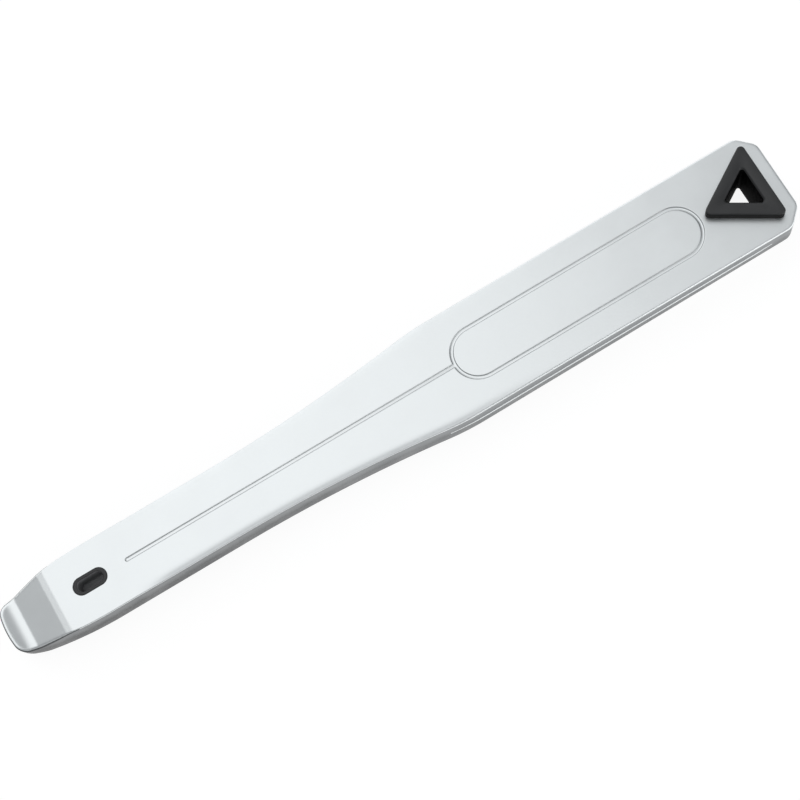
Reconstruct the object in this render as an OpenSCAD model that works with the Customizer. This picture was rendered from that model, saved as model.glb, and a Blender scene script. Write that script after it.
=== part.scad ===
// Tyre lever: a forged alloy body with a scooped tip, a moulded pocket near the tip
// and a triangular hanging eyelet in the butt, made of a front collar and a back ring.
// +X runs from the tip to the butt, +Y across the width and +Z up from the resting face.
// The origin is at the middle of the resting face. Lengths are in millimetres.

/* [Body] */
// Overall length from the tip to the butt
lever_length = 203.2; // [200:0.1:210]
// Thickness of the shaft
shaft_thickness = 10.2; // [9.8:0.1:10.6]
// Thickness at the butt, where the back has tapered
butt_thickness = 7.7; // [7.2:0.1:8]
// Width of the slim shaft
shaft_width = 17.2; // [16.5:0.1:18]
// Width of the parallel handle
handle_width = 25; // [24:0.1:27]
// Distance from the tip to where the shaft starts to widen
flare_start = 56.4; // [50:0.1:58]
// Radius of the hollow curve that widens the shaft
flare_radius = 410; // [350:5:450]
// Radius of the round shoulder that ends the widening
shoulder_radius = 68; // [50:1:80]

/* [Edges] */
// Edge radius round the scooped tip
tip_edge = 0.9; // [0.6:0.05:1]
// Edge radius along the shaft
shaft_edge = 0.25; // [0.2:0.05:0.4]
// Edge radius round the handle
handle_edge = 0.45; // [0.3:0.05:0.6]
// Width of the soft roll of the top face towards its edge along the shaft
roll_width = 1.8; // [1.2:0.1:2]
// Drop of that roll at the edge
roll_drop = 0.28; // [0.1:0.02:0.4]
// Height of the parting bead round the handle's sides
bead_height = 0.2; // [0.1:0.05:0.3]
// Edge radius of the back
back_edge = 0.7; // [0.4:0.1:1]

/* [Tip] */
// Radius of the slightly convex end
end_radius = 23.5; // [20:0.5:28]
// Corner radius of the end
corner_radius = 3.2; // [2.8:0.1:3.5]
// Radius of the curve that narrows the shaft towards the tip
nose_radius = 97; // [90:1:105]
// Distance from the tip to where that curve starts
nose_start = 23.8; // [22:0.1:25]
// Distance from the tip to where the scoop starts
scoop_start = 13.8; // [13:0.1:14.5]
// Length of the narrow facet between the face and the scoop's slope
knee_length = 1.6; // [1:0.1:2]
// Slope of that facet
knee_slope = 9; // [6:0.5:12]
// Slope of the scoop
scoop_slope = 19; // [16:0.5:20]
// Distance from the tip to where the slope turns up to the lip
scoop_bend = 5.2; // [5:0.1:5.5]
// Radius of that turn
bend_radius = 2; // [1.5:0.1:2.5]
// Radius of the hollow behind the lip
scoop_radius = 5.5; // [5:0.1:6]
// Slope of the lip's straight rise to the tip, in degrees
lip_slope = 25; // [22:0.5:26]

/* [Butt] */
// Size of the corner cuts at the butt
butt_cut = 3.9; // [3.5:0.1:4.5]
// Radius that blends each corner cut
butt_blend = 3; // [1:0.1:3.2]

/* [Groove] */
// Width of the shallow groove on the face
groove_width = 0.9; // [0.6:0.05:1.2]
// Depth of that groove
groove_depth = 0.25; // [0.1:0.05:0.4]
// Length of the pill-shaped loop of the groove
pill_length = 65.3; // [50:0.1:66]
// Width of the pill-shaped loop
pill_width = 13; // [10:0.1:15]
// Distance from the butt to the pill
pill_to_butt = 20.4; // [20:0.1:24]
// Distance from the tip to the start of the centre line
line_start = 32; // [30:0.5:60]

/* [Pocket insert] */
// Distance from the tip to the middle of the pocket insert
pocket_x = 22.4; // [22:0.1:24]
// Length of the insert
pocket_length = 8.4; // [8:0.1:9.5]
// Width of the insert
pocket_width = 4.1; // [4:0.1:5]
// Height of the insert
pocket_height = 6; // [4:0.1:6.5]
// Length of the hollow in the insert
hollow_length = 6.6; // [5:0.1:7]
// Width of the hollow
hollow_width = 2.8; // [2:0.1:3]
// Depth of the hollow
hollow_depth = 5; // [3:0.1:5]

/* [Eyelet] */
// Distance from the butt to the flat side of the triangular opening
eyelet_to_butt = 6.6; // [6.5:0.1:6.8]
// Distance from that flat side to the sharp point of the opening
eyelet_depth = 7.9; // [7.85:0.05:8.1]
// Half of the angle at the opening's point
eyelet_half_angle = 32.1; // [31:0.1:33]
// Width of the rim round the opening
rim_width = 2.9; // [2.8:0.05:3]
// Height of the rim above the face
rim_height = 3.1; // [2.5:0.1:3.5]
// Wall of the tube through the body
tube_wall = 1.4; // [1.3:0.05:1.5]
// Narrowing of the opening on each side, from the front to the back
opening_draft = 0.1; // [0.05:0.05:0.15]
// Depth to which the back ring's seat reaches above the resting plane
seat_height = 3.2; // [3.1:0.1:3.5]

/* [Hidden] */

half_shaft = shaft_width / 2;
half_handle = handle_width / 2;
fit_gap = 0.05;          // clearance between an insert and its hole
rim_corner = 1;          // corner radius of the eyelet's rim
opening_corner = 0.6;    // corner radius of the eyelet's opening
tube_corner = 1.6;       // corner radius of the tube
snap_lip = 0.4;          // how far the tube's snap lip stands out
lip_bottom = 0.6;        // height of the snap lip's lower face above the resting plane
lip_top = 1.2;           // height of its upper face
cut_over = 1;            // how far a cutter runs past the face it opens

// ---- Curves of the outline -------------------------------------------------

// A smooth step from 0 at a to 1 at b
function ease(x, a, b) = let(t = max(0, min(1, (x - a) / (b - a)))) t * t * (3 - 2 * t);
function mix(a, b, t) = a + (b - a) * t;

// Outline points are [x, y, inward normal x, inward normal y]. side is 1 where the arc
// bulges outwards and -1 where it is hollow.
function arc_points(centre, radius, from, to, count, side = 1) = [
    for (i = [1:count])
        let(a = mix(from, to, i / count))
        [centre.x + radius * cos(a), centre.y + radius * sin(a), -side * cos(a), -side * sin(a)]
];

// The corner of the tip touches the end curve and the nose curve: its centre lies on a line from
// the end curve's centre, corner_turn degrees off the axis.
nose_centre = [nose_start, half_shaft - nose_radius];
end_reach = end_radius - corner_radius;
nose_reach = nose_radius - corner_radius;
centres = [end_radius, 0] - nose_centre;
corner_turn = atan2(centres.x, centres.y)
    + asin((nose_reach * nose_reach - end_reach * end_reach - centres * centres)
        / (2 * end_reach * norm(centres)));
corner_centre = [end_radius - end_reach * cos(corner_turn), end_reach * sin(corner_turn)];
nose_angle = atan2(corner_centre.y - nose_centre.y, corner_centre.x - nose_centre.x);

// The flare and the shoulder turn through the same angle, so they meet in a common tangent.
flare_turn = acos(1 - (half_handle - half_shaft) / (flare_radius + shoulder_radius));
handle_start = flare_start + (flare_radius + shoulder_radius) * sin(flare_turn);
cut_setback = butt_blend * tan(22.5);

// Points of the outline on the +Y side, from the middle of the tip to the butt
upper_outline = concat(
    [[0, 0, 1, 0]],
    arc_points([end_radius, 0], end_radius, 180, 180 - corner_turn, 4),
    arc_points(corner_centre, corner_radius, 180 - corner_turn, nose_angle, 7),
    arc_points(nose_centre, nose_radius, nose_angle, 90, 18),
    [for (x = [27, 32, 38, 44, 50, flare_start]) [x, half_shaft, 0, -1]],
    arc_points([flare_start, half_shaft + flare_radius], flare_radius, -90, -90 + flare_turn, 9, -1),
    arc_points([handle_start, half_handle - shoulder_radius], shoulder_radius, 90 + flare_turn, 90, 6),
    [for (x = [122, 130, 150, 170, 186, 190, 194]) [x, half_handle, 0, -1]],
    arc_points([lever_length - butt_cut - cut_setback, half_handle - butt_blend], butt_blend, 90, 45, 4),
    arc_points([lever_length - butt_blend, half_handle - butt_cut - cut_setback], butt_blend, 45, 0, 4)
);
upper_count = len(upper_outline);

// The whole loop: up one side, then back down the other. The tip's point is on the axis, so it
// appears once.
loop_outline = concat(
    upper_outline,
    [for (i = [upper_count - 1:-1:1]) let(p = upper_outline[i]) [p.x, -p.y, p[2], -p[3]]]
);
loop_count = len(loop_outline);

// ---- Heights ---------------------------------------------------------------

knee_end = scoop_start - knee_length;
knee_z = shaft_thickness - knee_length * tan(knee_slope);
bend_z = knee_z - (knee_end - scoop_bend) * tan(scoop_slope);
hollow_x = scoop_bend - bend_radius * sin(scoop_slope);
hollow_z = bend_z - bend_radius * (1 - cos(scoop_slope));

// How far a hollow of this radius has risen at an offset from its lowest line
function dip(offset, radius) = radius - sqrt(radius * radius - offset * offset);

// How far the lip has risen at a distance from the hollow's lowest line: curved, then straight
lip_curve = scoop_radius * sin(lip_slope);
function lip_rise(away) =
    away < lip_curve ? dip(away, scoop_radius)
    : dip(lip_curve, scoop_radius) + (away - lip_curve) * tan(lip_slope);

// Height of the top face: flat, then a narrow facet, a straight slope and a hollow. The hollow
// turns up quickly at its foot and more slowly towards the lip.
function top_z(x) =
    x > scoop_start ? shaft_thickness
    : x > knee_end ? shaft_thickness - (scoop_start - x) * tan(knee_slope)
    : x > scoop_bend ? knee_z - (knee_end - x) * tan(scoop_slope)
    : x > hollow_x ? hollow_z + dip(x - hollow_x, bend_radius)
    : hollow_z + lip_rise(hollow_x - x);

// Height of the back: flat under the shaft, then rising evenly to the butt
back_slope = (shaft_thickness - butt_thickness) / (lever_length - handle_start);
function back_z(x) = max(0, x - handle_start) * back_slope;

function edge_radius(x) = x < 60
    ? mix(tip_edge, shaft_edge, ease(x, 8, 17))
    : mix(shaft_edge, handle_edge, ease(x, 100, handle_start));
function roll_at(x) = roll_drop * ease(x, 28, 40) * (1 - ease(x, 105, 150));
function bead_at(x) = bead_height * ease(x, 108, 120) * (1 - ease(x, 189, 196));

// The back of the tip is rounded up like a boat's bow, over this much length and height.
bow_length = 3.5;
bow_height = 5.2;
function bow_at(x) = 1 - ease(x, 0, 6);
function back_inset(x) = mix(back_edge, bow_length, bow_at(x));
function back_rise(x) = mix(back_edge, bow_height, bow_at(x));

// ---- The skin of the body --------------------------------------------------

// A point of the outline, moved inwards by inset
function inset_xy(p, inset) = [p.x + p[2] * inset, p.y + p[3] * inset];

// One point on the top: a rounded edge of the radius that the place has, at angle turn
function edge_point(p, turn) =
    let(r = edge_radius(p.x), q = inset_xy(p, r * (1 - sin(turn))))
    [q.x, q.y, top_z(q.x) - roll_at(p.x) - r * (1 - cos(turn))];

// One point inside the rounded edge, where the face rolls off softly. part is 0 at the flat face
// and 1 at the edge.
function roll_point(p, part) =
    let(q = inset_xy(p, edge_radius(p.x) + roll_width * (1 - part)))
    [q.x, q.y, top_z(q.x) - roll_at(p.x) * part * part];

function side_top(p) = edge_point(p, 90).z;
function side_bottom(p) = back_z(p.x) + back_rise(p.x);

// One point of the side's parting bead. level is 1, 0 or -1 for its top, crest and foot.
function bead_point(p, level) =
    let(
        top = side_top(p),
        bottom = side_bottom(p),
        half = min(0.35, (top - bottom) / 4),
        q = inset_xy(p, level == 0 ? -bead_at(p.x) : 0)
    )
    [q.x, q.y, (top + bottom) / 2 + level * half];

// One point of the rounded lower edge, from the side at turn 0 to the back at turn 90
function lower_point(p, turn) =
    let(q = inset_xy(p, back_inset(p.x) * (1 - cos(turn))))
    [q.x, q.y, back_z(q.x) + back_rise(p.x) * (1 - sin(turn))];

function ring(kind, value) = [
    for (p = loop_outline)
        kind == "roll" ? roll_point(p, value)
        : kind == "edge" ? edge_point(p, value)
        : kind == "bead" ? bead_point(p, value)
        : lower_point(p, value)
];

skin_rings = [
    ring("roll", 0), ring("roll", 0.5),
    ring("edge", 0), ring("edge", 45), ring("edge", 90),
    ring("bead", 1), ring("bead", 0), ring("bead", -1),
    ring("lower", 0), ring("lower", 22.5), ring("lower", 45), ring("lower", 67.5), ring("lower", 90)
];
ring_count = len(skin_rings);

// The vertex i places along ring k, and its mirror image on the other side
function at(k, i) = k * loop_count + (i % loop_count);
function mirrored(i) = i == 0 ? 0 : loop_count - i;

module body_skin() {
    walls = [
        for (k = [0:ring_count - 2], i = [0:loop_count - 1])
            each [
                [at(k, i), at(k, i + 1), at(k + 1, i + 1)],
                [at(k, i), at(k + 1, i + 1), at(k + 1, i)]
            ]
    ];
    // Each cap joins the two sides with strips across the width.
    caps = [
        for (i = [0:upper_count - 2], k = [0, ring_count - 1])
            let(
                a = at(k, i), b = at(k, i + 1),
                c = at(k, mirrored(i + 1)), d = at(k, mirrored(i)),
                strip = i == 0 ? [[a, c, b]] : [[a, c, b], [a, d, c]]
            )
            each [for (t = strip) k == 0 ? t : [t[0], t[2], t[1]]]
    ];
    polyhedron(points = [for (r = skin_rings) each r], faces = concat(walls, caps));
}

// ---- Shapes that repeat ----------------------------------------------------

// A flat shape with round ends, its length along X
module stadium(length, width) {
    square([length - width, width], center = true);
    for (end = [-1, 1])
        translate([end * (length - width) / 2, 0])
            circle(d = width, $fn = 48);
}

// The eyelet's triangle with rounded corners, grown outwards by grow on every side
eyelet_flat_x = lever_length - eyelet_to_butt;
module eyelet_triangle(grow, corner) {
    inner = grow - corner;
    flat_x = eyelet_flat_x + inner;
    point_x = eyelet_flat_x - eyelet_depth - inner / sin(eyelet_half_angle);
    half_side = (flat_x - point_x) * tan(eyelet_half_angle);
    centres_list = [[point_x, 0], [flat_x, -half_side], [flat_x, half_side]];
    normals = [
        [-sin(eyelet_half_angle), -cos(eyelet_half_angle)],
        [1, 0],
        [-sin(eyelet_half_angle), cos(eyelet_half_angle)]
    ];
    polygon([
        for (i = [0:2])
            each [
                centres_list[i] + corner * normals[i],
                centres_list[(i + 1) % 3] + corner * normals[i]
            ]
    ]);
    for (c = centres_list)
        translate(c)
            circle(r = corner, $fn = 48);
}

// ---- Sub-parts -------------------------------------------------------------

// The groove on the face: a centre line that runs into a pill-shaped loop
module groove_shape() {
    pill_end = lever_length - pill_to_butt;
    translate([pill_end - pill_length / 2, 0])
        difference() {
            stadium(pill_length, pill_width);
            stadium(pill_length - 2 * groove_width, pill_width - 2 * groove_width);
        }
    line_end = pill_end - pill_length + groove_width / 2;
    translate([(line_start + line_end) / 2, 0])
        square([line_end - line_start, groove_width], center = true);
    translate([line_start, 0])
        circle(d = groove_width, $fn = 24);
}

module lever_body() {
    color([0.83, 0.84, 0.85])
        translate([-lever_length / 2, 0, 0])
            difference() {
                body_skin();
                translate([0, 0, shaft_thickness - groove_depth])
                    linear_extrude(groove_depth + cut_over)
                        groove_shape();
                translate([pocket_x, 0, shaft_thickness - pocket_height - fit_gap])
                    linear_extrude(pocket_height + cut_over)
                        stadium(pocket_length + 2 * fit_gap, pocket_width + 2 * fit_gap);
                translate([0, 0, -cut_over])
                    linear_extrude(shaft_thickness + 2 * cut_over)
                        eyelet_triangle(tube_wall + fit_gap, tube_corner);
                translate([0, 0, -cut_over])
                    linear_extrude(seat_height + cut_over)
                        eyelet_triangle(rim_width + fit_gap, rim_corner + fit_gap);
            }
}

// A black moulded cup that lines the blind pocket near the tip, flush with the face
module pocket_insert() {
    color([0.07, 0.07, 0.08])
        translate([pocket_x - lever_length / 2, 0, shaft_thickness - pocket_height])
            difference() {
                linear_extrude(pocket_height)
                    stadium(pocket_length, pocket_width);
                translate([0, 0, pocket_height - hollow_depth])
                    linear_extrude(hollow_depth + cut_over)
                        stadium(hollow_length, hollow_width);
            }
}

// The tapering opening through the collar, from its rim down to the tube's end
module eyelet_opening() {
    top = shaft_thickness + rim_height;
    height = top - lip_bottom;
    // Scaling about the inscribed circle's centre draws all three sides in by the same amount.
    sine = sin(eyelet_half_angle);
    in_radius = eyelet_depth * sine / (1 + sine);
    pivot = eyelet_flat_x - in_radius;
    translate([pivot, 0, top])
        mirror([0, 0, 1])
            linear_extrude(height, scale = 1 - opening_draft / in_radius)
                translate([-pivot, 0])
                    eyelet_triangle(0, opening_corner);
}

// The front half of the eyelet: a proud rim, and a tube that runs through the body
module eyelet_collar() {
    color([0.16, 0.165, 0.17])
        translate([-lever_length / 2, 0, 0])
            difference() {
                union() {
                    translate([0, 0, shaft_thickness])
                        linear_extrude(rim_height)
                            eyelet_triangle(rim_width, rim_corner);
                    translate([0, 0, lip_bottom])
                        linear_extrude(shaft_thickness - lip_bottom)
                            eyelet_triangle(tube_wall, tube_corner);
                    translate([0, 0, lip_bottom])
                        linear_extrude(lip_top - lip_bottom)
                            eyelet_triangle(tube_wall + snap_lip, tube_corner);
                }
                eyelet_opening();
            }
}

// The back half of the eyelet: a ring in a square seat, which the tube's lip snaps into
module eyelet_back_ring() {
    color([0.12, 0.125, 0.13])
        translate([-lever_length / 2, 0, 0])
            difference() {
                linear_extrude(seat_height - fit_gap)
                    eyelet_triangle(rim_width, rim_corner);
                translate([0, 0, -cut_over])
                    linear_extrude(seat_height + 2 * cut_over)
                        eyelet_triangle(tube_wall + fit_gap, tube_corner);
                translate([0, 0, -cut_over])
                    linear_extrude(lip_top + fit_gap + cut_over)
                        eyelet_triangle(tube_wall + snap_lip + fit_gap, tube_corner);
            }
}

lever_body();
pocket_insert();
eyelet_collar();
eyelet_back_ring();
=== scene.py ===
import math

import bpy
from mathutils import Matrix, Vector
from mathutils.geometry import delaunay_2d_cdt


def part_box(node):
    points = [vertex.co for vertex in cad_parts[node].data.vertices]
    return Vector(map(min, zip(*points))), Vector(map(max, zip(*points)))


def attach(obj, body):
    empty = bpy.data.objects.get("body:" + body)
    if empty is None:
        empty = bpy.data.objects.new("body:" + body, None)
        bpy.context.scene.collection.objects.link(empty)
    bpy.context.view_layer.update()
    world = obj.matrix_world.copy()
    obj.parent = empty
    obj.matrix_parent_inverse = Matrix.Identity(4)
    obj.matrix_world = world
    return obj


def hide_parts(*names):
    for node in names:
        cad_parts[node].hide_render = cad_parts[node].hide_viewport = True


# A forged tyre lever with a moulded pocket insert and a triangular eyelet.
# Shapes are worked out in millimetres from the lever's tip, and meshes are made in metres in the
# CAD frame.

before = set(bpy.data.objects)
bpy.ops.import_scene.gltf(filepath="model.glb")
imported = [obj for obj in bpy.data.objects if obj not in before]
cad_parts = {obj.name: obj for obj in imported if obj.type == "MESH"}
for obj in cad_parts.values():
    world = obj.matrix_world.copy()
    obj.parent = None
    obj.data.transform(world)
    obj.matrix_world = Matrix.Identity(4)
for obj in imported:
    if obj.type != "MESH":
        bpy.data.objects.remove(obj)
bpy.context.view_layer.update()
MM = 0.001

# ---- Driving sizes, from the CAD model where its boxes give them --------------------------------

body_low, body_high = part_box("lever_body")
insert_low, insert_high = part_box("pocket_insert")
collar_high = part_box("eyelet_collar")[1]
ring_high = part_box("eyelet_back_ring")[1]

TIP_X = body_low.x / MM
LENGTH = (body_high.x - body_low.x) / MM
THICKNESS = body_high.z / MM
RIM_TOP = collar_high.z / MM
BEAD = 0.2
BEAD_HALF = 0.35
HALF_HANDLE = body_high.y / MM - BEAD
HALF_SHAFT = 8.6
BUTT_THICKNESS = 7.7

FLARE_START = 56.4
FLARE_RADIUS = 410.0
SHOULDER_RADIUS = 68.0

TIP_EDGE = 0.9
SHAFT_EDGE = 0.25
HANDLE_EDGE = 0.45
ROLL_WIDTH = 1.8
ROLL_DROP = 0.28
BACK_EDGE = 0.7
EDGE_GUARD = 0.15

# Where the edges, the soft roll, the bead and the bow at the tip fade in or out along the lever
MID_SHAFT = 60
TIP_EDGE_END = (8, 17)
HANDLE_EDGE_START = 100
ROLL_START, ROLL_END = (28, 40), (105, 150)
BEAD_START, BEAD_END = (108, 120), (189, 196)
BOW_END = (0, 6)

END_RADIUS = 23.5
CORNER_RADIUS = 3.2
NOSE_RADIUS = 97.0
NOSE_START = 23.8
SCOOP_START = 13.8
KNEE_LENGTH = 1.6
KNEE_SLOPE = math.radians(9)
SCOOP_SLOPE = math.radians(19)
SCOOP_BEND = 5.2
BEND_RADIUS = 2.0
SCOOP_RADIUS = 5.5
LIP_SLOPE = math.radians(25)
BOW_LENGTH = 3.5
BOW_HEIGHT = 5.2

BUTT_CUT = 3.9
BUTT_BLEND = 3.0

GROOVE_WIDTH = 0.9
GROOVE_DEPTH = 0.25
GROOVE_BANK = 0.24
GROOVE_SHOULDER = 0.06
GROOVE_GUARD = 0.12
PILL_LENGTH = 65.3
PILL_WIDTH = 13.0
PILL_TO_BUTT = 20.4
LINE_START = 32.0

POCKET_X = (insert_low.x + insert_high.x) / 2 / MM - TIP_X
POCKET_LENGTH = (insert_high.x - insert_low.x) / MM
POCKET_WIDTH = (insert_high.y - insert_low.y) / MM
POCKET_FLOOR = insert_low.z / MM
HOLLOW_LENGTH = 6.6
HOLLOW_WIDTH = 2.8
HOLLOW_DEPTH = 5.0

EYELET_FLAT_X = LENGTH - 6.6
EYELET_DEPTH = 7.9
EYELET_HALF_ANGLE = math.radians(32.1)
RIM_WIDTH = 2.9
RIM_CORNER = 1.0
TUBE_WALL = 1.4
TUBE_CORNER = 1.6
OPENING_CORNER = 0.6
OPENING_DRAFT = 0.1
SNAP_LIP = 0.4
LIP_BOTTOM = 0.6
LIP_TOP = 1.2
FIT_GAP = 0.05
SEAT_HEIGHT = ring_high.z / MM + FIT_GAP


# ---- Curves and heights of the body -------------------------------------------------------------

def ease(x, a, b):
    """A smooth step from 0 at a to 1 at b."""
    t = max(0.0, min(1.0, (x - a) / (b - a)))
    return t * t * (3 - 2 * t)


def mix(a, b, t):
    return a + (b - a) * t


def arc(centre, radius, start, end, spacing, side=1):
    """Outline points (x, y, inward normal x, inward normal y) after start, up to end."""
    count = max(2, math.ceil(abs(end - start) * radius / spacing))
    points = []
    for i in range(1, count + 1):
        a = mix(start, end, i / count)
        c, s = math.cos(a), math.sin(a)
        points.append((centre[0] + radius * c, centre[1] + radius * s, -side * c, -side * s))
    return points


def straight(x0, x1, y, spacing):
    count = max(1, math.ceil((x1 - x0) / spacing))
    return [(mix(x0, x1, i / count), y, 0.0, -1.0) for i in range(1, count + 1)]


FLARE_TURN = math.acos(1 - (HALF_HANDLE - HALF_SHAFT) / (FLARE_RADIUS + SHOULDER_RADIUS))
HANDLE_START = FLARE_START + (FLARE_RADIUS + SHOULDER_RADIUS) * math.sin(FLARE_TURN)
BACK_SLOPE = (THICKNESS - BUTT_THICKNESS) / (LENGTH - HANDLE_START)


def upper_outline():
    """The plan outline on the +Y side, from the middle of the tip to the butt."""
    quarter = math.pi / 2
    nose = (NOSE_START, HALF_SHAFT - NOSE_RADIUS)
    end_reach = END_RADIUS - CORNER_RADIUS
    nose_reach = NOSE_RADIUS - CORNER_RADIUS
    gap = (END_RADIUS - nose[0], -nose[1])
    span = math.hypot(*gap)
    turn = math.atan2(gap[0], gap[1]) + math.asin(
        (nose_reach**2 - end_reach**2 - span**2) / (2 * end_reach * span)
    )
    corner = (END_RADIUS - end_reach * math.cos(turn), end_reach * math.sin(turn))
    nose_angle = math.atan2(corner[1] - nose[1], corner[0] - nose[0])
    flare = (FLARE_START, HALF_SHAFT + FLARE_RADIUS)
    shoulder = (HANDLE_START, HALF_HANDLE - SHOULDER_RADIUS)
    setback = BUTT_BLEND * math.tan(math.pi / 8)
    cut_x = LENGTH - BUTT_CUT - setback
    cut_y = HALF_HANDLE - BUTT_CUT - setback
    return (
        [(0.0, 0.0, 1.0, 0.0)]
        + arc((END_RADIUS, 0), END_RADIUS, math.pi, math.pi - turn, 0.3)
        + arc(corner, CORNER_RADIUS, math.pi - turn, nose_angle, 0.22)
        + arc(nose, NOSE_RADIUS, nose_angle, quarter, 0.2)
        + straight(NOSE_START, FLARE_START, HALF_SHAFT, 1.5)
        + arc(flare, FLARE_RADIUS, -quarter, -quarter + FLARE_TURN, 1.5, -1)
        + arc(shoulder, SHOULDER_RADIUS, quarter + FLARE_TURN, quarter, 0.6)
        + straight(HANDLE_START, cut_x, HALF_HANDLE, 2.0)
        + arc((cut_x, HALF_HANDLE - BUTT_BLEND), BUTT_BLEND, quarter, quarter / 2, 0.2)
        + arc((LENGTH - BUTT_BLEND, cut_y), BUTT_BLEND, quarter / 2, 0, 0.2)
    )


KNEE_END = SCOOP_START - KNEE_LENGTH
KNEE_Z = THICKNESS - KNEE_LENGTH * math.tan(KNEE_SLOPE)
BEND_Z = KNEE_Z - (KNEE_END - SCOOP_BEND) * math.tan(SCOOP_SLOPE)
HOLLOW_X = SCOOP_BEND - BEND_RADIUS * math.sin(SCOOP_SLOPE)
HOLLOW_Z = BEND_Z - BEND_RADIUS * (1 - math.cos(SCOOP_SLOPE))


def dip(offset, radius):
    return radius - math.sqrt(radius**2 - offset**2)


def lip_rise(away):
    """How far the lip has risen at a distance from the hollow's lowest line."""
    curve = SCOOP_RADIUS * math.sin(LIP_SLOPE)
    if away < curve:
        return dip(away, SCOOP_RADIUS)
    return dip(curve, SCOOP_RADIUS) + (away - curve) * math.tan(LIP_SLOPE)


def top_z(x):
    """Height of the top face: flat, a narrow facet, a slope, and a hollow up to the lip."""
    if x > SCOOP_START:
        return THICKNESS
    if x > KNEE_END:
        return THICKNESS - (SCOOP_START - x) * math.tan(KNEE_SLOPE)
    if x > SCOOP_BEND:
        return KNEE_Z - (KNEE_END - x) * math.tan(SCOOP_SLOPE)
    if x > HOLLOW_X:
        return HOLLOW_Z + dip(x - HOLLOW_X, BEND_RADIUS)
    return HOLLOW_Z + lip_rise(HOLLOW_X - x)


def back_z(x):
    """Height of the back: flat under the shaft, then rising evenly to the butt."""
    return max(0.0, x - HANDLE_START) * BACK_SLOPE


def edge_radius(x):
    if x < MID_SHAFT:
        return mix(TIP_EDGE, SHAFT_EDGE, ease(x, *TIP_EDGE_END))
    return mix(SHAFT_EDGE, HANDLE_EDGE, ease(x, HANDLE_EDGE_START, HANDLE_START))


def roll_at(x):
    return ROLL_DROP * ease(x, *ROLL_START) * (1 - ease(x, *ROLL_END))


def bead_at(x):
    return BEAD * ease(x, *BEAD_START) * (1 - ease(x, *BEAD_END))


def bow_at(x):
    return 1 - ease(x, *BOW_END)


def back_inset(x):
    return mix(BACK_EDGE, BOW_LENGTH, bow_at(x))


def back_rise(x):
    return mix(BACK_EDGE, BOW_HEIGHT, bow_at(x))


def inset_xy(p, inset):
    return p[0] + p[2] * inset, p[1] + p[3] * inset


def edge_point(p, turn):
    """A point on the rounded top edge, from the face at turn 0 to the side at a quarter turn."""
    r = edge_radius(p[0])
    x, y = inset_xy(p, r * (1 - math.sin(turn)))
    return x, y, top_z(x) - roll_at(p[0]) - r * (1 - math.cos(turn))


def roll_point(p, part):
    """A point on the soft roll inside the edge, from the flat face at part 0 to the edge at 1."""
    x, y = inset_xy(p, edge_radius(p[0]) + ROLL_WIDTH * (1 - part))
    return x, y, top_z(x) - roll_at(p[0]) * part * part


def bead_point(p, level):
    """A point on the side's parting bead, from its top at level 1 to its foot at level -1."""
    top = edge_point(p, math.pi / 2)[2]
    bottom = back_z(p[0]) + back_rise(p[0])
    half = min(BEAD_HALF, (top - bottom) / 4)
    swell = bead_at(p[0]) * (0.5 + 0.5 * math.cos(math.pi * level))
    x, y = inset_xy(p, -swell)
    return x, y, (top + bottom) / 2 + level * half


def lower_point(p, turn):
    """A point on the rounded lower edge, from the side at turn 0 to the back at a quarter turn."""
    x, y = inset_xy(p, back_inset(p[0]) * (1 - math.cos(turn)))
    return x, y, back_z(x) + back_rise(p[0]) * (1 - math.sin(turn))


def guard_point(p):
    """A point on the flat face just inside the roll, which keeps the roll's shading off it."""
    x, y = inset_xy(p, edge_radius(p[0]) + ROLL_WIDTH + EDGE_GUARD)
    return x, y, top_z(x)


def back_guard_point(p):
    """A point on the back just inside the lower edge."""
    x, y = inset_xy(p, back_inset(p[0]) + EDGE_GUARD)
    return x, y, back_z(x)


def even(low, high, count):
    """count values from low to high, evenly spaced."""
    return [mix(low, high, i / (count - 1)) for i in range(count)]


# ---- Meshes -------------------------------------------------------------------------------------

class Skin:
    """The points of one mesh, in millimetres from the tip, its faces and their material numbers."""

    def __init__(self):
        self.points, self.faces, self.kinds = [], [], []

    def row(self, points):
        """Adds points, and gives their numbers."""
        first = len(self.points)
        self.points.extend(points)
        return list(range(first, len(self.points)))

    def add(self, faces, kind=0):
        self.faces.extend(faces)
        self.kinds.extend([kind] * len(faces))

    def bridge(self, lower, upper, kind=0):
        """Quads between two closed rows of the same length."""
        count = len(lower)
        after = [(i + 1) % count for i in range(count)]
        self.add([(lower[i], lower[j], upper[j], upper[i]) for i, j in enumerate(after)], kind)


def mesh_object(name, skin, sharp=50):
    """A smooth-shaded piece from a skin. Edges past sharp degrees stay crisp."""
    mesh = bpy.data.meshes.new(name)
    mesh.from_pydata([((x + TIP_X) * MM, y * MM, z * MM) for x, y, z in skin.points], [], skin.faces)
    mesh.validate()
    for polygon, kind in zip(mesh.polygons, skin.kinds):
        polygon.material_index = kind
    mesh.shade_smooth()
    mesh.set_sharp_from_angle(angle=math.radians(sharp))
    mesh.update()
    piece = bpy.data.objects.new(name, mesh)
    bpy.context.scene.collection.objects.link(piece)
    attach(piece, "root")
    return piece


def sweep(centre, radius, start, turn, steps):
    """Points (x, y) on an arc round centre, with both its ends."""
    angles = [start + turn * i / steps for i in range(steps + 1)]
    return [(centre[0] + radius * math.cos(a), centre[1] + radius * math.sin(a)) for a in angles]


def stadium_loop(centre_x, length, width, grow=0.0, spacing=0.25):
    """A closed loop with round ends, anticlockwise. grow moves it outwards, and keeps the number
    of its points."""
    radius = width / 2 + grow
    half = (length - width) / 2
    steps = max(8, math.ceil(math.pi * (width / 2) / spacing))
    loop = []
    for side in (1, -1):
        loop += sweep((centre_x + side * half, 0), radius, -side * math.pi / 2, math.pi, steps)
    return loop


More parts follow.
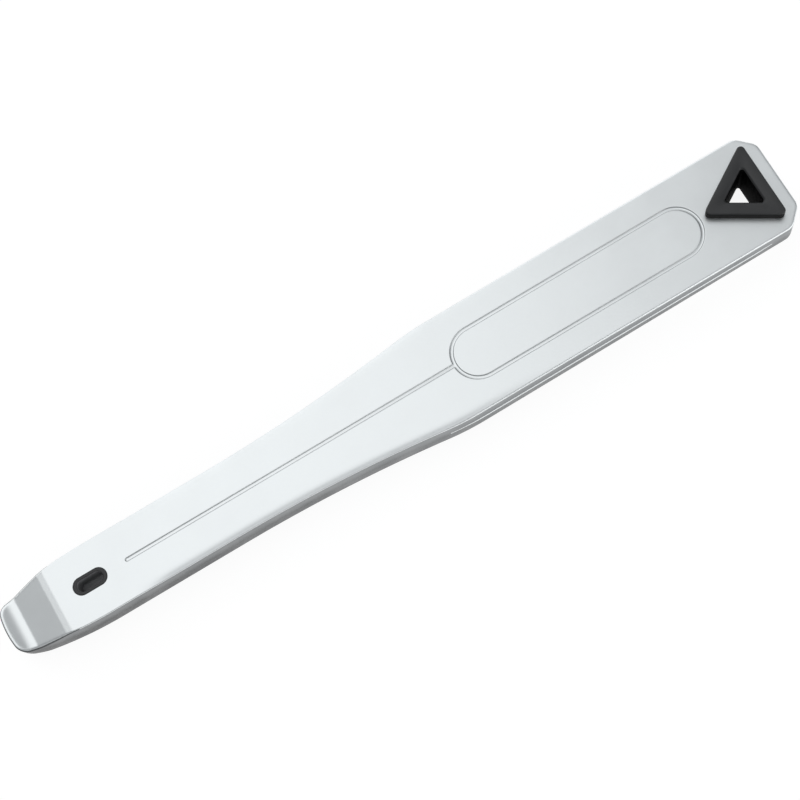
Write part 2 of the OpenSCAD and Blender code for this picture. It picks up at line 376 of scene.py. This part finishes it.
def eyelet_loop(grow, corner):
    """The eyelet's triangle with rounded corners, grown outwards by grow, anticlockwise."""
    sine, inner = math.sin(EYELET_HALF_ANGLE), grow - corner
    flat_x = EYELET_FLAT_X + inner
    point_x = EYELET_FLAT_X - EYELET_DEPTH - inner / sine
    half_side = (flat_x - point_x) * math.tan(EYELET_HALF_ANGLE)
    wide, sharp = math.pi / 2 + EYELET_HALF_ANGLE, math.pi - 2 * EYELET_HALF_ANGLE
    steps = 10
    return (
        sweep((flat_x, half_side), corner, 0.0, wide, steps)
        + sweep((point_x, 0.0), corner, wide, sharp, steps)
        + sweep((flat_x, -half_side), corner, -wide, wide, steps)
    )


def at_height(loop, z):
    return [(x, y, z) for x, y in loop]


# ---- The forged body ----------------------------------------------------------------------------

# The body's material numbers, and how many rings make its rounded edges and its bead
SATIN, GRAINED, PAINTED_SHADE, GROOVE_SHADE = 0, 1, 2, 3
EDGE_RINGS = 7
BEAD_RINGS = 9
LOWER_RINGS = 9


def pill_groove_loops(offset):
    """The two lines at a distance of offset from the groove's middle line: the loop inside the
    pill, and the one outside it that also runs round the centre line."""
    radius = (PILL_WIDTH - GROOVE_WIDTH) / 2
    half = (PILL_LENGTH - PILL_WIDTH) / 2
    middle = LENGTH - PILL_TO_BUTT - PILL_LENGTH / 2
    inside = stadium_loop(middle, 2 * half + 2 * radius, 2 * radius, -offset, 0.3)
    outer = radius + offset
    left, right = (middle - half, 0), (middle + half, 0)
    quarter = math.pi / 2
    steps = math.ceil(math.pi * radius / 0.3)
    open_angle = math.asin(offset / outer)
    outside = (
        sweep((LINE_START, 0), offset, quarter, math.pi, 6)
        + sweep(left, outer, math.pi + open_angle, quarter - open_angle, steps // 2)
        + sweep(right, outer, -quarter, math.pi, steps)
        + sweep(left, outer, quarter, quarter - open_angle, steps // 2)
    )
    return inside, outside


def inside_loop(x, y, loop):
    hit = False
    for (x0, y0), (x1, y1) in zip(loop, loop[1:] + loop[:1]):
        if (y0 > y) != (y1 > y) and x < x0 + (y - y0) / (y1 - y0) * (x1 - x0):
            hit = not hit
    return hit


def fill_flat(points, outer, loops, holes, extra_edges=(), up=True):
    """Triangles between the row outer and the rows in loops, leaving the rows in holes open. Rows
    are lists of vertex numbers of points. extra_edges are kept as edges, and up says which way
    the triangles face."""
    rows = [outer] + loops
    numbers = [n for row in rows for n in row]
    place = {n: i for i, n in enumerate(numbers)}
    edges = []
    for row in rows:
        edges += [(place[a], place[b]) for a, b in zip(row, row[1:] + row[:1])]
    edges += [(place[a], place[b]) for a, b in extra_edges]
    flat = [Vector(points[n][:2]) for n in numbers]
    _, _, triangles, origins, _, _ = delaunay_2d_cdt(flat, edges, [], 1, 1e-6)
    hole_loops = [[points[n][:2] for n in row] for row in holes]
    faces = []
    for triangle in triangles:
        corners = [numbers[origins[v][0]] for v in triangle]
        x = sum(points[n][0] for n in corners) / 3
        y = sum(points[n][1] for n in corners) / 3
        if not any(inside_loop(x, y, loop) for loop in hole_loops):
            faces.append(tuple(corners) if up else tuple(reversed(corners)))
    return faces


def mirrored(i, count):
    """The number of the outline point across the centre line from point i."""
    return 0 if i == 0 else count - i


def body_sides(skin, loop):
    """The rings of the edges and sides, from the face down to the back. Gives their last row."""
    rings = [[guard_point(p) for p in loop]]
    rings += [[roll_point(p, part) for p in loop] for part in (0, 0.2, 0.4, 0.6, 0.8)]
    rings += [[edge_point(p, math.radians(t)) for p in loop] for t in even(0, 90, EDGE_RINGS)]
    side_band = len(rings) - 1
    bead_bands = range(side_band + 2, side_band + BEAD_RINGS - 1)
    lower_band = side_band + BEAD_RINGS + 1
    rings += [[bead_point(p, level) for p in loop] for level in even(1, -1, BEAD_RINGS)]
    rings += [[lower_point(p, math.radians(t)) for p in loop] for t in even(0, 90, LOWER_RINGS)]
    rings += [[back_guard_point(p) for p in loop]]

    def kind_at(band, x):
        """The material of the faces in a band, counted from the face, at x along the lever."""
        # Painted shade: the rounded lower edge is darkened for the lever's contact shadow on the floor.
        if band >= lower_band:
            return PAINTED_SHADE
        # Painted highlight: where the bead stands out it takes the face's bright satin alloy, a light
        # line along the side.
        if band in bead_bands and bead_at(x) > BEAD / 20:
            return SATIN
        if band >= side_band:
            return GRAINED
        # Painted shade: near the scoop the outer half of the top edge is darkened into a dark outline.
        near_tip = x < SCOOP_START + 1.5
        return PAINTED_SHADE if near_tip and band > side_band - 4 else SATIN

    rows = [skin.row(ring) for ring in rings]
    for band, (upper, lower) in enumerate(zip(rows, rows[1:])):
        skin.bridge(upper, lower)
        skin.kinds[-len(loop):] = [kind_at(band, p[0]) for p in loop]
    return rows[-1]


def body_scoop(skin, flat_from, count):
    """The scoop: strips straight across, as far as the first outline point on the flat face."""
    for i in range(flat_from):
        near, far = mirrored(i, count), mirrored(i + 1, count)
        skin.add([(i, far, i + 1) if i == 0 else (i, near, far, i + 1)])


def body_face(skin, outer):
    """The flat face inside the row outer, with the groove, the pocket and the eyelet's hole. Gives
    the hole's top row."""
    grooves = []
    for guard, t in [(GROOVE_GUARD, 0)] + [(0, t) for t in even(0, 1, 6)]:
        offset = GROOVE_WIDTH / 2 + GROOVE_SHOULDER + guard - GROOVE_BANK * t
        depth = GROOVE_DEPTH * (0.5 - 0.5 * math.cos(math.pi * t))
        for line in pill_groove_loops(offset):
            grooves.append(skin.row(at_height(line, THICKNESS - depth)))
    pocket = [
        skin.row(at_height(stadium_loop(POCKET_X, POCKET_LENGTH, POCKET_WIDTH, grow), z))
        for grow, z in (
            (0.2, THICKNESS), (0.1, THICKNESS), (0.08, THICKNESS - 0.01), (0.06, THICKNESS - 0.04),
            (FIT_GAP, THICKNESS - 0.1), (FIT_GAP, POCKET_FLOOR - FIT_GAP),
        )
    ]
    hole = skin.row(at_height(eyelet_loop(TUBE_WALL + FIT_GAP, TUBE_CORNER), THICKNESS))
    # Painted shade: the groove's sloping walls take a darker copy of the satin alloy.
    for face in fill_flat(skin.points, outer, grooves + [pocket[0], hole], [pocket[0], hole]):
        heights = [skin.points[i][2] for i in face]
        steep = max(heights) - min(heights) > 0.005
        skin.add([face], GROOVE_SHADE if steep else SATIN)
    for a, b in zip(pocket, pocket[1:]):
        skin.bridge(a, b)
    skin.add([tuple(pocket[-1])])
    return hole


def body_back(skin, outer, crease, hole):
    """The back inside the row outer, creased where its taper starts. The seat of the back ring is
    cut square into it, and the row hole is the top of the eyelet's hole."""
    loop = eyelet_loop(RIM_WIDTH + FIT_GAP, RIM_CORNER + FIT_GAP)
    seat_edge = skin.row([(x, y, back_z(x)) for x, y in loop])
    seat_outer = skin.row(at_height(loop, SEAT_HEIGHT))
    seat_inner = skin.row(at_height(eyelet_loop(TUBE_WALL + FIT_GAP, TUBE_CORNER), SEAT_HEIGHT))
    skin.add(fill_flat(skin.points, outer, [seat_edge], [seat_edge], [crease], up=False))
    skin.bridge(seat_outer, seat_edge)
    skin.bridge(seat_inner, seat_outer)
    skin.bridge(hole, seat_inner)


def lever_body():
    """The forging: its sides, scoop, flat face and back in one skin."""
    upper = upper_outline()
    loop = upper + [(x, -y, nx, -ny) for x, y, nx, ny in reversed(upper[1:])]
    count = len(loop)
    skin = Skin()
    last = body_sides(skin, loop)
    half = range(len(upper))
    flat_from = next(i for i in half if skin.points[i][0] > SCOOP_START + 1)
    body_scoop(skin, flat_from, count)
    flat = list(half[flat_from:])
    hole = body_face(skin, flat + [mirrored(i, count) for i in reversed(flat)])
    bend = min(half, key=lambda i: abs(skin.points[last[i]][0] - HANDLE_START))
    body_back(skin, last, (last[bend], last[mirrored(bend, count)]), hole)
    piece = mesh_object("forged_body", skin)
    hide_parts("lever_body")
    return piece


# ---- The black moulded pieces -------------------------------------------------------------------

# Their material numbers. WALL and BORE take nylon darkened with painted shade, and HOLLOW takes nylon
# lightened with painted light.
FACE, WALL, HOLLOW, BORE = 0, 1, 2, 3


def pocket_cup():
    """The cup that lines the pocket: a flat rim with soft edges, a drafted hollow and a floor
    that is rounded into its walls."""
    bottom = THICKNESS - HOLLOW_DEPTH
    foot, edge, lip, draft, fillet = 0.15, 0.18, 0.14, 0.1, 0.5

    def outer_loop(inset, z):
        return at_height(stadium_loop(POCKET_X, POCKET_LENGTH, POCKET_WIDTH, -inset), z)

    def hollow_loop(inset, z):
        length = HOLLOW_LENGTH - 2 * inset
        width = HOLLOW_WIDTH - 2 * inset
        spacing = 0.25 * width / POCKET_WIDTH
        return at_height(stadium_loop(POCKET_X, length, width, 0.0, spacing), z)

    outside = [outer_loop(foot, POCKET_FLOOR), outer_loop(0, POCKET_FLOOR + foot)]
    outside += [
        outer_loop(edge * (1 - math.cos(t)), THICKNESS - edge * (1 - math.sin(t)))
        for t in even(0, math.pi / 2, 5)
    ]
    mouth = [
        hollow_loop(-lip * (1 - math.sin(t)), THICKNESS - lip * (1 - math.cos(t)))
        for t in even(0, math.pi / 2, 5)
    ]
    hollow = [
        hollow_loop(draft + fillet * (1 - math.cos(t)), bottom + fillet * (1 - math.sin(t)))
        for t in even(0, math.pi / 2, 6)
    ]
    skin = Skin()
    rows = [skin.row(loop) for loop in outside + mouth + hollow]
    hollow_band = len(outside + mouth) - 1
    for band, (a, b) in enumerate(zip(rows, rows[1:])):
        # Painted light: the hollow's bands take the lightened nylon.
        skin.bridge(a, b, HOLLOW if band >= hollow_band else FACE)
    skin.add([tuple(reversed(rows[0]))], FACE)
    skin.add([tuple(rows[-1])], HOLLOW)
    piece = mesh_object("pocket_cup", skin, sharp=60)
    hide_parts("pocket_insert")
    return piece


def eyelet_ring(profile):
    """A closed skin round the eyelet from a profile of (growth, corner radius, height, kind), with
    each kind for the band up to the next entry."""
    skin = Skin()
    rows = [skin.row(at_height(eyelet_loop(grow, corner), z)) for grow, corner, z, _ in profile]
    for i, entry in enumerate(profile):
        skin.bridge(rows[i], rows[(i + 1) % len(rows)], entry[3])
    return skin


def eyelet_front():
    """The collar: a proud rim with softened edges, a bevelled opening that narrows towards the
    back, and a tube that ends in a snap lip."""
    edge, bevel, bevel_depth, foot, gap = 0.3, 0.34, 0.5, 0.12, 0.01
    lip_out = TUBE_WALL + SNAP_LIP
    bevel_foot = RIM_TOP - bevel_depth
    # From the tube's end up the outside, over the rim and down the opening
    profile = [
        (TUBE_WALL - 0.1, TUBE_CORNER, LIP_BOTTOM, WALL),
        (lip_out, TUBE_CORNER, LIP_TOP - 0.2, WALL),
        (lip_out, TUBE_CORNER, LIP_TOP, WALL),
        (TUBE_WALL, TUBE_CORNER, LIP_TOP, WALL),
        (TUBE_WALL, TUBE_CORNER, THICKNESS + gap, WALL),
        (RIM_WIDTH - foot, RIM_CORNER - foot, THICKNESS + gap, WALL),
        (RIM_WIDTH, RIM_CORNER, THICKNESS + foot, WALL),
    ]
    for t in even(math.pi / 2, 0, 6):
        inset = edge * (1 - math.sin(t))
        profile.append((RIM_WIDTH - inset, RIM_CORNER - inset, RIM_TOP - edge * (1 - math.cos(t)), FACE))
    profile += [
        (bevel + 0.08, OPENING_CORNER + bevel * 0.7, RIM_TOP, FACE),
        (bevel * 0.9, OPENING_CORNER + bevel * 0.6, RIM_TOP - 0.07, FACE),
        (0.02, OPENING_CORNER, bevel_foot, BORE),
        (-0.05, OPENING_CORNER, bevel_foot - 0.2, BORE),
        (-OPENING_DRAFT, OPENING_CORNER - 0.1, LIP_BOTTOM, WALL),
    ]
    piece = mesh_object("eyelet_front", eyelet_ring(profile))
    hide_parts("eyelet_collar")
    return piece


def eyelet_back():
    """The back ring, with soft outer edges and a rebate for the collar's snap lip."""
    edge = 0.4
    top = SEAT_HEIGHT - FIT_GAP
    rebate, rebate_top = TUBE_WALL + SNAP_LIP + FIT_GAP, LIP_TOP + FIT_GAP
    # From the top of the rebate down to the back, round the outside and up to the seat
    profile = [
        (TUBE_WALL + FIT_GAP, TUBE_CORNER, rebate_top, FACE),
        (rebate, TUBE_CORNER, rebate_top, FACE),
        (rebate, TUBE_CORNER, 0.1, FACE),
        (rebate + 0.1, TUBE_CORNER, 0.0, FACE),
    ]
    for t in even(math.pi / 2, 0, 6):
        inset = edge * (1 - math.cos(t))
        profile.append((RIM_WIDTH - inset, RIM_CORNER - inset, edge * (1 - math.sin(t)), FACE))
    profile += [
        (RIM_WIDTH, RIM_CORNER, top, FACE),
        (TUBE_WALL + FIT_GAP, TUBE_CORNER, top, FACE),
    ]
    piece = mesh_object("eyelet_back", eyelet_ring(profile))
    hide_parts("eyelet_back_ring")
    return piece


# ---- Materials ----------------------------------------------------------------------------------

class Nodes:
    """Short names for adding and joining shader nodes."""

    def __init__(self, name):
        self.material = bpy.data.materials.new(name)
        self.material.use_nodes = True
        self.tree = self.material.node_tree
        self.shader = self.tree.nodes["Principled BSDF"]

    def add(self, kind, **settings):
        node = self.tree.nodes.new(kind)
        for key, value in settings.items():
            if key in node.inputs:
                node.inputs[key].default_value = value
            else:
                setattr(node, key, value)
        return node

    def join(self, source, target):
        self.tree.links.new(source, target)

    def noise(self, vector, scale, detail=3.0, roughness=0.5):
        node = self.add("ShaderNodeTexNoise", Scale=scale, Detail=detail, Roughness=roughness)
        self.join(vector, node.inputs["Vector"])
        return node.outputs["Fac"]

    def span(self, value, low, high, out_low, out_high):
        """value, stretched from low..high to out_low..out_high and held there."""
        node = self.add("ShaderNodeMapRange")
        node.inputs["From Min"].default_value = low
        node.inputs["From Max"].default_value = high
        node.inputs["To Min"].default_value = out_low
        node.inputs["To Max"].default_value = out_high
        self.join(value, node.inputs["Value"])
        return node.outputs["Result"]

    def blend_colours(self, factor, first, second):
        node = self.add("ShaderNodeMix", data_type="RGBA")
        self.join(factor, node.inputs[0])
        for socket, colour in ((node.inputs[6], first), (node.inputs[7], second)):
            if isinstance(colour, tuple):
                socket.default_value = (*colour, 1)
            else:
                self.join(colour, socket)
        return node.outputs[2]

    def place(self):
        """The place on the piece, in its own coordinates."""
        return self.add("ShaderNodeTexCoord").outputs["Object"]

    def bump(self, height, strength, distance, normal=None):
        node = self.add("ShaderNodeBump", Strength=strength, Distance=distance)
        self.join(height, node.inputs["Height"])
        if normal:
            self.join(normal, node.inputs["Normal"])
        return node.outputs["Normal"]


def satin_alloy(name="satin_alloy", shade=1.0):
    """Fine satin alloy: faint blotches and a very fine grain."""
    n = Nodes(name)
    place = n.place()
    blotches = n.noise(place, 90, 4)
    grain = n.noise(place, 5200, 2)
    # A shade below 1 darkens the colours; the groove uses it as painted shade.
    low = (0.775 * shade, 0.804 * shade, 0.812 * shade)
    high = (0.831 * shade, 0.863 * shade, 0.871 * shade)
    colour = n.blend_colours(n.span(blotches, 0.3, 0.7, 0, 1), low, high)
    n.join(colour, n.shader.inputs["Base Color"])
    n.join(n.span(blotches, 0.3, 0.7, 0.3, 0.36), n.shader.inputs["Roughness"])
    n.shader.inputs["Metallic"].default_value = 1.0
    n.join(n.bump(grain, 0.12, 0.00004), n.shader.inputs["Normal"])
    return n.material


def steel_grey(level):
    """A grey of this level with a faint blue cast."""
    return 0.95 * level, level, 1.03 * level


def grained_alloy(name="grained_alloy", shade=1.0):
    """The sides: the coarser grain of a blasted forging, in a darker grey that is partly the forging's
    own and partly painted shade for the dark surroundings they reflect. The lower half is darker still
    with painted shade for the lever's shadow on the floor, and the end near the tip is darkest."""
    n = Nodes(name)
    place = n.place()
    axes = n.add("ShaderNodeSeparateXYZ")
    n.join(place, axes.inputs[0])
    blotches = n.noise(place, 160, 3)
    grain = n.noise(place, 2600, 3, 0.6)
    # Painted shade: below 4.5 to 7.5 mm up the side the colour darkens, for the lever's shadow on the
    # floor
    high = n.span(axes.outputs["Z"], 0.0045, 0.0075, 0, 1)
    along = n.span(axes.outputs["X"], -0.075, 0.02, 0, 1)
    painted_shade_colour = n.blend_colours(along, steel_grey(0.03 * shade), steel_grey(0.155 * shade))
    high_colour = n.blend_colours(along, steel_grey(0.18 * shade), steel_grey(0.27 * shade))
    colour = n.blend_colours(high, painted_shade_colour, high_colour)
    specks = n.span(grain, 0.35, 0.65, 0, 1)
    lighter = n.blend_colours(specks, colour, steel_grey(0.33 * shade))
    softened = n.add("ShaderNodeMix", data_type="RGBA")
    softened.inputs[0].default_value = 0.25
    n.join(colour, softened.inputs[6])
    n.join(lighter, softened.inputs[7])
    n.join(softened.outputs[2], n.shader.inputs["Base Color"])
    n.join(n.span(blotches, 0.3, 0.7, 0.36, 0.46), n.shader.inputs["Roughness"])
    n.shader.inputs["Metallic"].default_value = 1.0
    n.join(n.bump(grain, 0.5, 0.00008), n.shader.inputs["Normal"])
    return n.material


def black_nylon():
    """Moulded black nylon with a fine satin skin."""
    n = Nodes("black_nylon")
    place = n.place()
    skin = n.noise(place, 3800, 2)
    patches = n.noise(place, 220, 3)
    dark, pale = (0.022, 0.023, 0.024), (0.031, 0.032, 0.034)
    colour = n.blend_colours(n.span(patches, 0.3, 0.7, 0, 1), dark, pale)
    n.join(colour, n.shader.inputs["Base Color"])
    n.join(n.span(patches, 0.3, 0.7, 0.42, 0.52), n.shader.inputs["Roughness"])
    n.join(n.bump(skin, 0.25, 0.00005), n.shader.inputs["Normal"])
    return n.material


def shaded_nylon_walls(name, dark, pale, specular):
    """The upright walls of the moulded pieces: the same nylon with a duller spark-eroded skin, its
    colour darkened as painted shade on the walls and in the bore.
    """
    n = Nodes(name)
    place = n.place()
    skin = n.noise(place, 4200, 3, 0.6)
    colour = n.blend_colours(n.span(skin, 0.3, 0.7, 0, 1), (dark,) * 3, (pale,) * 3)
    n.join(colour, n.shader.inputs["Base Color"])
    n.join(n.span(skin, 0.3, 0.7, 0.6, 0.75), n.shader.inputs["Roughness"])
    n.shader.inputs["Specular IOR Level"].default_value = specular
    n.join(n.bump(skin, 0.3, 0.00005), n.shader.inputs["Normal"])
    return n.material


def lit_hollow_nylon():
    """The pocket's hollow: nylon painted a lighter grey as painted light on the hollow's floor and
    walls, with faint random patches.
    """
    n = Nodes("lit_hollow_nylon")
    place = n.place()
    skin = n.noise(place, 3200, 3, 0.6)
    mottling = n.noise(place, 700, 3)
    dark, pale = (0.18, 0.184, 0.19), (0.26, 0.264, 0.27)
    colour = n.blend_colours(n.span(mottling, 0.3, 0.7, 0, 1), dark, pale)
    n.join(colour, n.shader.inputs["Base Color"])
    n.join(n.span(mottling, 0.3, 0.7, 0.5, 0.62), n.shader.inputs["Roughness"])
    n.join(n.bump(skin, 0.25, 0.00005), n.shader.inputs["Normal"])
    return n.material


def pale_floor():
    """A pale floor that glows a little, so that it stays near white."""
    n = Nodes("pale_floor")
    cloud = n.noise(n.place(), 6, 2)
    colour = n.blend_colours(cloud, (0.12, 0.12, 0.12), (0.14, 0.14, 0.14))
    n.join(colour, n.shader.inputs["Base Color"])
    n.shader.inputs["Roughness"].default_value = 0.8
    n.shader.inputs["Emission Color"].default_value = (1, 1, 1, 1)
    n.shader.inputs["Emission Strength"].default_value = 0.91
    return n.material


# ---- Stage, light and camera --------------------------------------------------------------------

def floor():
    """A wide flat floor at the height of the lever's back."""
    half, segments = 1.5, 6
    grid = [
        (mix(-half, half, i / segments), mix(-half, half, j / segments), 0.0)
        for j in range(segments + 1) for i in range(segments + 1)
    ]
    row = segments + 1
    faces = [
        (j * row + i, j * row + i + 1, (j + 1) * row + i + 1, (j + 1) * row + i)
        for j in range(segments) for i in range(segments)
    ]
    mesh = bpy.data.meshes.new("floor")
    mesh.from_pydata(grid, [], faces)
    obj = bpy.data.objects.new("floor", mesh)
    bpy.context.scene.collection.objects.link(obj)
    mesh.materials.append(pale_floor())


def panel(name, place, target, width, height, radiance):
    """A soft rectangular light at place, aimed at target. radiance is how bright its face is."""
    light = bpy.data.lights.new(name, "AREA")
    light.shape = "RECTANGLE"
    light.size, light.size_y = width, height
    light.energy = radiance * math.pi * width * height
    obj = bpy.data.objects.new(name, light)
    bpy.context.scene.collection.objects.link(obj)
    obj.location = place
    obj.rotation_euler = (Vector(target) - Vector(place)).to_track_quat("-Z", "Y").to_euler()


def lights():
    """Two overlapping panels over the face, one to the left and one behind, and one low at the side."""
    world = bpy.data.worlds.new("studio")
    bpy.context.scene.world = world
    world.use_nodes = True
    background = world.node_tree.nodes["Background"]
    background.inputs["Color"].default_value = (0.96, 0.98, 1.0, 1)
    background.inputs["Strength"].default_value = 0.36
    panel("overhead", (-0.22, 0.215, 1.0), (-0.22, 0.215, 0), 0.88, 1.07, 0.44)
    panel("overhead_wide", (-0.095, 0.365, 1.02), (-0.095, 0.365, 0), 1.13, 0.97, 0.36)
    panel("left", (-1.1, 0.3, 0.85), (0, 0, 0), 0.8, 0.6, 0.2)
    panel("back", (0.0, 1.3, 0.7), (0, 0, 0), 2.2, 1.2, 0.85)
    panel("side", (0.6, -0.9, 0.42), (0, 0, 0), 1.2, 0.6, 1.5)


def camera():
    """The camera looks down on the middle of the face, from the -Y side, and is rolled so that the
    lever lies across the frame's diagonal."""
    elevation, heading, roll = math.radians(75.78), math.radians(84.02), math.radians(-24.86)
    distance = 0.4195
    ahead = Vector((
        math.cos(heading) * math.cos(elevation),
        math.sin(heading) * math.cos(elevation),
        -math.sin(elevation),
    ))
    target = Vector((0.00156, -0.00047, THICKNESS * MM))
    data = bpy.data.cameras.new("camera")
    data.lens, data.sensor_width = 83.59, 36
    data.clip_start, data.clip_end = 0.01, 20
    obj = bpy.data.objects.new("camera", data)
    bpy.context.scene.collection.objects.link(obj)
    turn = ahead.to_track_quat("-Z", "Y").to_matrix() @ Matrix.Rotation(roll, 3, "Z")
    obj.matrix_world = Matrix.Translation(target - ahead * distance) @ turn.to_4x4()
    bpy.context.scene.camera = obj


# ---- Making the scene ---------------------------------------------------------------------------

camera()
lights()
floor()
body = lever_body()
alloys = [
    satin_alloy(),
    grained_alloy(),
    # Painted shade: a darker copy of the side alloy, for the lower edge and the tip's outer edge.
    grained_alloy("painted_shade_alloy", 0.45),
    # Painted shade: a darker copy of the satin alloy for the groove's walls.
    satin_alloy("groove_shaded_alloy", 0.7),
]
for material in alloys:
    body.data.materials.append(material)
moulded = [
    black_nylon(),
    # Painted shade: darker nylon for the walls, and darker still for the eyelet's bore.
    shaded_nylon_walls("shaded_nylon_walls", 0.006, 0.013, 0.08),
    # Painted light: lighter nylon for the pocket's hollow.
    lit_hollow_nylon(),
    shaded_nylon_walls("shaded_nylon_bore", 0.0015, 0.003, 0.02),
]
for piece in (pocket_cup(), eyelet_front(), eyelet_back()):
    for material in moulded:
        piece.data.materials.append(material)

bpy.context.scene.view_settings.view_transform = "Standard"
